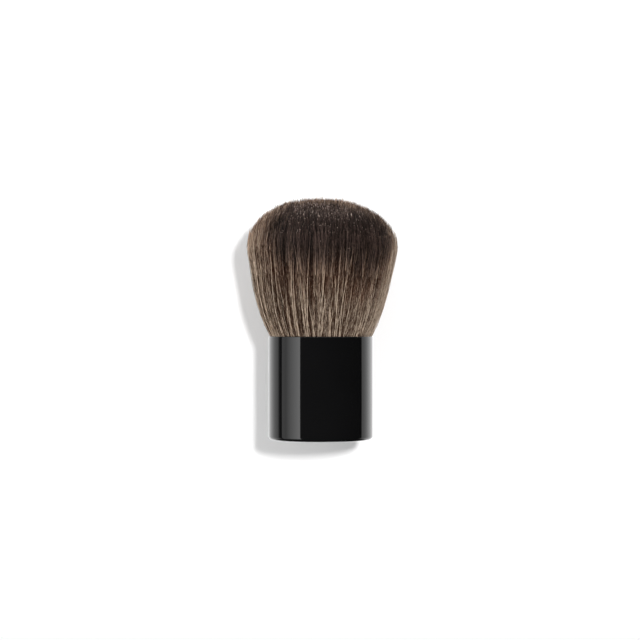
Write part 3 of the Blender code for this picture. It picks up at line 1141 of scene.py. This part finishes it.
    def _grow(self, lines: Feed) -> None:
        """Bends the straight lines into hairs and gives them their thickness and their map.

        Args:
            lines: a straight line for each hair.
        """
        given, habit, shape = self.given, self.habit, self.shape
        lean_out = self.scaled(self.stray, self.product(self.guard, habit.guard_lean))
        lean_out = self._shifted(lean_out, self.clump["Color"], habit.clump_lean)
        lean_out = self._shifted(lean_out, self.wisp["Color"], habit.wisp_lean)
        lean_out = self.vector("MULTIPLY", lean_out, LEVEL_ONLY)
        end = self.vector("ADD", self.root, lean_out)
        end_share = self.length(end)
        tip = self._tip_height(end, end_share)
        length = self.less(tip, shape.root_height)
        shown = self.math("MINIMUM", length, given["Shown Length"])
        along = self.separate(self.first("GeometryNodeInputPosition"))[2]
        height = self.less(tip, self.product(shown, self.less(1.0, along)))
        from_root = self.math("DIVIDE", self.less(height, shape.root_height), length)

        lean = self.ramp(from_root, *habit.lean)
        place = self.scaled(self._wandered(from_root, lean_out), self._outline(height))
        spot = self.vector("ADD", place, self.combine(lean, 0.0, height))
        ageing = self._ageing(from_root, end, end_share)
        hairs, tone, ageing = self._kept(lines, tone=self._tone(), ageing=ageing)
        inputs = {"Curve": hairs, "Radius": self._thickness(from_root)}
        hairs = self.first("GeometryNodeSetCurveRadius", inputs)
        hairs = self.first("GeometryNodeSetPosition", {"Geometry": hairs, "Position": spot})

        inputs = {"Resolution": habit.sides, "Radius": 1.0}
        ring = self.first("GeometryNodeCurvePrimitiveCircle", inputs)
        ring, side = self._kept(ring, side=self.first("GeometryNodeInputIndex"))
        radius = self.first("GeometryNodeInputRadius")
        inputs = {"Curve": hairs, "Profile Curve": ring, "Scale": radius, "Fill Caps": True}
        made = self.first("GeometryNodeCurveToMesh", inputs)
        made = self.first("GeometryNodeSetShadeSmooth", {"Geometry": made})
        aside = self.product(self.less(side, habit.sides // 2), habit.side_on_map)
        across = self.total(self.scale_add(tone, *habit.tone_on_map), aside)
        on_map = self.combine(across, self.scale_add(ageing, *habit.ageing_on_map))
        made = self.first(
            "GeometryNodeStoreNamedAttribute",
            {"Geometry": made, "Name": HAIR_MAP, "Value": on_map},
            data_type="FLOAT2", domain="CORNER",
        )
        made = self.first("GeometryNodeRealizeInstances", {"Geometry": made})
        inputs = {"Geometry": made, "Material": given["Material"]}
        made = self.first("GeometryNodeSetMaterial", inputs)
        self.feed(self.tree.nodes.new("NodeGroupOutput").inputs[0], made)

    def grow(self, name: str, growth: Growth, material: Material) -> Mesh:
        """Runs the tree once and keeps its result as a plain mesh.

        Args:
            name: name of the mesh.
            growth: how the hairs grow.
            material: their finish.

        Returns:
            The mesh.
        """
        host = linked("hair_host", bpy.data.meshes.new("hair_host"))
        modifier = host.modifiers.new("grow", "NODES")
        modifier.node_group = self.tree
        values = {**inputs_of(growth), "Material": material}
        for item in self.tree.interface.items_tree:
            if item.in_out == "INPUT":
                modifier[item.identifier] = values[item.name]
        graph = bpy.context.evaluated_depsgraph_get()
        data = bpy.data.meshes.new_from_object(host.evaluated_get(graph))
        data.name = name
        host.modifiers.remove(modifier)
        bpy.data.objects.remove(host)
        return data


class Layer(Enum):
    """Where a share of the hairs grows."""

    UNDER = "under_hairs"
    FLANK = "flank_hairs"
    DOME = "dome_hairs"


@dataclass(frozen=True)
class LayerPlan:
    """A layer of hairs, in so many pieces, and how each of them grows."""

    layer: Layer
    pieces: int
    growth: Growth
    seeds_apart: int = 100


@dataclass
class Tuft:
    """The hair tuft: a dark mass of hair inside, which is painted shade, and three layers of single
    hairs over it.

    The under layer closes the flank from inside, and its hairs are kept dark as painted shade
    between the outer hairs. The flank layer is its outer face, and the dome layer stands above
    both, cut to the dome.
    """

    habit: HairHabit = field(default_factory=HairHabit)
    inset_share: float = 0.88
    crown_inset: float = 5.0 * MM
    mass_sides: int = 96
    mass_rings: int = 28
    mass_flatness: float = 9.0
    mass_shoulder: float = 0.5
    root_height: float = 23.9 * MM
    plans: Tuple[LayerPlan, ...] = (
        # The under hairs get a low lightness, so they stay dark: painted shade in the gaps between
        # the outer hairs.
        LayerPlan(Layer.UNDER, 3, Growth(
            hairs=3000, points=7, seed=5, least_share=0.80, greatest_share=0.94,
            shown_length=60.0 * MM, shortest=7.0 * MM, cut_power=0.6,
            thickness=0.060 * MM, lightness=0.12, left_at_tip=0.8,
        )),
        LayerPlan(Layer.FLANK, 3, Growth(
            hairs=3500, points=8, seed=11, least_share=0.94, greatest_share=1.0,
            shown_length=60.0 * MM, shortest=9.0 * MM, cut_power=1.25,
            thickness=0.044 * MM, lightness=0.77, left_at_tip=0.8,
            guard_share=0.080, guard_outward=0.5, guard_extra=1.0,
        )),
        LayerPlan(Layer.DOME, 6, Growth(
            hairs=6000, points=5, seed=23, least_share=0.0, greatest_share=0.955,
            shown_length=13.0 * MM, shortest=2.8 * MM, cut_power=0.33,
            thickness=0.056 * MM, lightness=1.0, left_at_tip=0.55,
            guard_share=0.23, guard_extra=0.3,
        )),
    )

    def __post_init__(self) -> None:
        """Takes the outer size from the frame."""
        low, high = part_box("bristles")
        self.shape = TuftShape(self.root_height, high.z, (high.x - low.x) / 2)

    def build(self, effects: SharedEffects) -> None:
        """Makes every piece of the tuft in place of its CAD node.

        Args:
            effects: shared node groups.
        """
        self._build_mass(HairMassShadeFinish().make(effects))
        tree = HairTree(self.shape, self.habit)
        finish = HairFinish().make(effects)
        for plan in self.plans:
            self._build_layer(tree, plan, finish)

    def _build_mass(self, material: Material) -> None:
        """Makes the mass of hair that fills the tuft under its outer hairs, coloured dark as
        painted shade.

        Args:
            material: its finish.
        """
        shape = self.shape
        holder = bpy.data.node_groups.new("outline_holder", "ShaderNodeTree")
        mapping = holder.nodes.new("ShaderNodeFloatCurve").mapping
        shape.trace(mapping)
        top = shape.crown_height - self.crown_inset
        span = shape.crown_height - shape.root_height
        rings = [(0.0, shape.root_height)]
        for ring in range(self.mass_rings + 1):
            share = ring / self.mass_rings
            height = shape.root_height + (top - shape.root_height) * share
            along = (height - shape.root_height) / span
            reach = mapping.evaluate(mapping.curves[0], along) * shape.widest_radius
            close = (1.0 - share ** self.mass_flatness) ** self.mass_shoulder
            rings.append((reach * self.inset_share * close, height))
        bpy.data.node_groups.remove(holder)
        rings[-1] = (0.0, top)
        # The dark mass is painted shade: it stands where the inside of the tuft lies in shade.
        mass = piece_from(turned("hair_mass", rings, self.mass_sides), material)
        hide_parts("bristles")

    def _build_layer(self, tree: HairTree, plan: LayerPlan, material: Material) -> None:
        """Grows one layer of hairs, a sector a piece.

        Args:
            tree: the nodes that grow them.
            plan: how the layer is grown.
            material: finish of the hairs.
        """
        sector = math.tau / plan.pieces
        for number in range(plan.pieces):
            growth = replace(
                plan.growth, seed=plan.growth.seed + plan.seeds_apart * number,
                first_angle=sector * number, last_angle=sector * (number + 1),
            )
            data = tree.grow(f"{plan.layer.value}_{number + 1}", growth, material)
            piece_from(data, material)


@dataclass
class Inside:
    """Pieces that the handle hides. Their CAD shapes stay, with their own finishes."""

    finishes: Dict[str, SurfaceFinish] = field(default_factory=lambda: HIDDEN_FINISHES)

    def build(self, nodes: Dict[str, Object], effects: SharedEffects) -> None:
        """Gives each hidden CAD node its finish.

        Args:
            nodes: the CAD nodes by name.
            effects: shared node groups.
        """
        for name, finish in self.finishes.items():
            material = finish.make(effects)
            for place in nodes[name].material_slots:
                place.link = "OBJECT"
                place.material = material
            LOG.info("%s: %s", name, finish.name)


@dataclass
class Studio:
    """Camera, key light, the pale plane behind the brush and the world.

    The world's parts lie round the brush by azimuth, counted to the right of the camera's side,
    and by height, -1 straight below and 1 straight above. Mirror rays see the softbox at the
    left, the glow behind and the one overhead. Other rays see the fill, a rim light and the box.
    """

    frame_pixels: int = 640
    axis_column: float = 320.9
    level_row: float = 319.8
    sensor: float = 36.0
    lens: float = 117.65
    camera_distance: float = 660.0 * MM
    camera_height: float = 37.73 * MM
    clip_start: float = 10.0 * MM
    plane_behind: float = 24.6 * MM
    plane_half_width: float = 150.0 * MM
    plane_foot: float = -66.0 * MM
    plane_top: float = 210.0 * MM
    plane_colour: Colour = (0.93, 0.93, 0.93, 1.0)
    plane_glow: float = 0.10
    key_azimuth: float = 11.5
    key_elevation: float = 9.0
    key_distance: float = 1.2
    key_size: float = 0.115
    key_power: float = 12.0
    key_target: Triple = (0.0, 0.0, 38.0 * MM)
    softbox_from: float = -95.5
    softbox_to: float = -46.4
    softbox_half_height: float = 0.53
    softbox_glow: Ramp = Ramp(-83.0, -46.4, 0.76, 3.15, False)
    softbox_fill: float = 1.2
    glows_behind: Tuple[Ramp, ...] = (
        Ramp(-102.0, -112.0, 0.0, 0.8),
        Ramp(-110.0, -142.0, 0.0, 0.6),
        Ramp(100.6, 102.2, 0.0, 0.95),
        Ramp(104.0, 138.0, 0.0, 1.0),
    )
    foot_of_glows: Ramp = Ramp(-0.62, -0.42)
    overhead_glow: Ramp = Ramp(0.45, 0.7, 0.0, 1.3)
    fill_upward: Ramp = Ramp(-0.8, 0.8, 0.10, 0.52, False)
    fill_rightward: Ramp = Ramp(-0.9, 0.9, 1.95, 0.15, False)
    rim_front: Ramp = Ramp(-66.0, -84.0, 0.0, 1.6)
    rim_back: Ramp = Ramp(-112.0, -98.0)
    rim_foot: Ramp = Ramp(-0.8, 0.0)

    def build(self) -> None:
        """Sets up the whole studio."""
        self._camera()
        self._key()
        self._plane()
        self._world()
        bpy.context.scene.view_settings.view_transform = "Standard"

    def _camera(self) -> None:
        """Places the camera level with the photograph's middle row, square to the axis."""
        data = bpy.data.cameras.new("camera")
        data.sensor_width = self.sensor
        data.lens = self.lens
        data.clip_start = self.clip_start
        camera = linked("camera", data)
        pixel = self.sensor / self.lens * self.camera_distance / self.frame_pixels
        aside = (self.frame_pixels / 2 - self.axis_column) * pixel
        lift = (self.level_row - self.frame_pixels / 2) * pixel
        camera.location = (aside, -self.camera_distance, self.camera_height + lift)
        camera.rotation_euler = (math.radians(90), 0.0, 0.0)
        bpy.context.scene.camera = camera

    def _key(self) -> None:
        """Adds the soft key light that throws the shadow to the left and down."""
        data = bpy.data.lights.new("key", "AREA")
        data.shape = "SQUARE"
        data.size = self.key_size
        data.energy = self.key_power
        lamp = linked("key", data)
        lamp.visible_glossy = False
        turn, tilt = math.radians(self.key_azimuth), math.radians(self.key_elevation)
        level = math.cos(tilt)
        towards = Vector((math.sin(turn) * level, -math.cos(turn) * level, math.sin(tilt)))
        lamp.location = Vector(self.key_target) + towards * self.key_distance
        lamp.rotation_euler = (-towards).to_track_quat("-Z", "Y").to_euler()

    def _plane(self) -> None:
        """Adds the white surface. It shows its front only, so it never hides the brush."""
        half, foot, top = self.plane_half_width, self.plane_foot, self.plane_top
        made = bmesh.new()
        made.faces.new([
            made.verts.new((across, self.plane_behind, up))
            for across, up in ((-half, foot), (half, foot), (half, top), (-half, top))
        ])
        data = bpy.data.meshes.new("white_surface")
        made.to_mesh(data)
        made.free()
        surface = linked("white_surface", data)
        data.materials.append(self._surface_material())

    def _surface_material(self) -> Material:
        """Matt white that the camera sees a little brighter, clear from behind and to mirrors.

        Returns:
            The material.
        """
        made, wires, shader = new_material("white_surface")
        wires.tree.nodes.remove(shader)
        path = wires.place("ShaderNodeLightPath").outputs
        matt = wires.first("ShaderNodeBsdfDiffuse", {"Color": self.plane_colour})
        strength = wires.product(path["Is Camera Ray"], self.plane_glow)
        glow = wires.first("ShaderNodeEmission", {"Color": WHITE, "Strength": strength})
        both = wires.first("ShaderNodeAddShader", {0: matt, 1: glow})
        unseen = wires.place("ShaderNodeNewGeometry").outputs["Backfacing"]
        for ray in ("Is Glossy Ray", "Is Transmission Ray"):
            unseen = wires.math("MAXIMUM", unseen, path[ray])
        inputs = {0: unseen, 1: both, 2: wires.first("ShaderNodeBsdfTransparent")}
        choice = wires.first("ShaderNodeMixShader", inputs)
        wires.feed(wires.tree.nodes["Material Output"].inputs["Surface"], choice)
        return made

    def _world(self) -> None:
        """Fills the studio: white to the camera, dark flags in front and a softbox at the left."""
        world = bpy.data.worlds.new("studio")
        bpy.context.scene.world = world
        world.use_nodes = True
        wires = Wiring(world.node_tree)
        x, y, z = wires.separate(wires.place("ShaderNodeTexCoord").outputs["Generated"])
        turn = wires.math("ARCTAN2", x, wires.product(y, -1.0))
        softbox = wires.product(
            wires.math("GREATER_THAN", turn, math.radians(self.softbox_from)),
            wires.math("LESS_THAN", turn, math.radians(self.softbox_to)),
            wires.math("LESS_THAN", wires.math("ABSOLUTE", z), self.softbox_half_height),
            wires.turned_ramp(turn, self.softbox_glow),
        )
        behind = wires.total(*(wires.turned_ramp(turn, glow) for glow in self.glows_behind))
        behind = wires.product(behind, wires.ramp(z, *self.foot_of_glows))
        overhead = wires.ramp(z, *self.overhead_glow)
        mirrored = wires.math("MAXIMUM", wires.total(softbox, behind), overhead)
        fill = wires.product(wires.ramp(z, *self.fill_upward), wires.ramp(x, *self.fill_rightward))
        rim = wires.product(
            wires.turned_ramp(turn, self.rim_front), wires.turned_ramp(turn, self.rim_back),
            wires.ramp(z, *self.rim_foot),
        )
        soft = wires.total(fill, rim, wires.product(softbox, self.softbox_fill))
        path = wires.place("ShaderNodeLightPath").outputs
        glossy = wires.math("MAXIMUM", path["Is Glossy Ray"], path["Is Transmission Ray"])
        strength = wires.choose(glossy, soft, mirrored)
        strength = wires.choose(path["Is Camera Ray"], strength, 1.0)
        ground = world.node_tree.nodes["Background"]
        wires.feed(ground.inputs["Color"], WHITE)
        wires.feed(ground.inputs["Strength"], strength)


def corners(box: Tuple[Vector, Vector]) -> List[List[float]]:
    """Writes a box's lowest and highest corner as plain lists."""
    return [list(box[0]), list(box[1])]


def main() -> None:
    """Loads the frame and dresses the brush."""
    logging.basicConfig(level=logging.INFO, format="%(message)s")
    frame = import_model()
    effects = SharedEffects()
    Studio().build()
    Handle().build(effects)
    Tuft().build(effects)
    Inside().build(frame["nodes"], effects)


if __name__ == "__main__":
    main()
